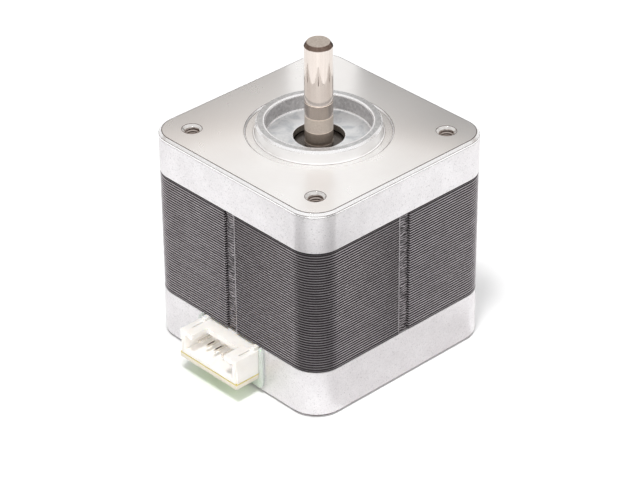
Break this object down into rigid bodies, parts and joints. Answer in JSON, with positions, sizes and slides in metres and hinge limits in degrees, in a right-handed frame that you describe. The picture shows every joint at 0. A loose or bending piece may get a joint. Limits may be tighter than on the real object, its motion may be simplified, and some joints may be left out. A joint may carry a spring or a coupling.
{
  "type": "stepper motor",
  "caption": "Square two-phase hybrid stepper motor with a pilot ring, a plain round shaft, dark laminations between cast covers and a side plug connector.",
  "frame": {"origin": "on the shaft's axis, in the plane of the front mounting face, at the foot of the pilot ring", "axes": "+Z out along the free end of the shaft; -Y towards the connector; +X completes the right-handed frame"},
  "size_m": [0.0424, 0.048, 0.0583],
  "materials": {
    "cast_cover": "cast sides, milled mounting face",
    "lamination_steel": "dark varnished edges of steel sheets",
    "insulator_plastic": "moulded nylon",
    "copper_wire": "enamelled copper wire",
    "screw_steel": "zinc-plated steel",
    "header_plastic": "natural nylon",
    "tinned_pin": "tin-plated",
    "board_laminate": "green mask over glass-fibre board",
    "bezel_plastic": "pale translucent moulding",
    "solder": "smooth solder",
    "bearing_steel": "ground steel",
    "shield_steel": "pressed sheet",
    "spring_steel": "spring sheet",
    "shaft_steel": "ground and polished",
    "rotor_steel": "stamped silicon steel",
    "magnet": "sintered magnet",
    "spacer_brass": "turned",
    "ball_steel": "polished",
    "cage_brass": "pressed"
  },
  "bodies": {
    "housing": {"front_cover": "cast_cover", "rear_cover": "cast_cover", "stator_core": "lamination_steel", "front_insulator": "insulator_plastic", "rear_insulator": "insulator_plastic", "phase_a_windings": "copper_wire", "phase_b_windings": "copper_wire", "tie_screws": "screw_steel", "connector_housing": "header_plastic", "connector_pins": "tinned_pin", "connector_board": "board_laminate", "connector_bezel": "bezel_plastic", "terminal_posts": "tinned_pin", "solder_joints": "solder", "front_bearing_outer_ring": "bearing_steel", "rear_bearing_outer_ring": "bearing_steel", "front_bearing_shields": "shield_steel", "rear_bearing_shields": "shield_steel", "wave_washer": "spring_steel"},
    "rotor": {"shaft": "shaft_steel", "front_rotor_cup": "rotor_steel", "rear_rotor_cup": "rotor_steel", "rotor_magnet": "magnet", "front_bearing_inner_ring": "bearing_steel", "rear_bearing_inner_ring": "bearing_steel", "front_spacer": "spacer_brass", "rear_spacer": "spacer_brass"},
    "front_ball_set": {"front_bearing_balls": "ball_steel", "front_bearing_cage": "cage_brass"},
    "rear_ball_set": {"rear_bearing_balls": "ball_steel", "rear_bearing_cage": "cage_brass"}
  },
  "joints": [
    {"name": "rotor_spin", "type": "hinge", "parent": "housing", "child": "rotor", "pos_m": [0, 0, 0], "axis": [0, 0, 1], "continuous": true},
    {"name": "front_cage_spin", "type": "hinge", "parent": "housing", "child": "front_ball_set", "pos_m": [0, 0, -0.0047], "axis": [0, 0, 1], "continuous": true},
    {"name": "rear_cage_spin", "type": "hinge", "parent": "housing", "child": "rear_ball_set", "pos_m": [0, 0, -0.0363], "axis": [0, 0, 1], "continuous": true}
  ],
  "couplings": [
    {"joint": "front_cage_spin", "follows": "rotor_spin", "ratio": 0.367},
    {"joint": "rear_cage_spin", "follows": "rotor_spin", "ratio": 0.367}
  ]
}
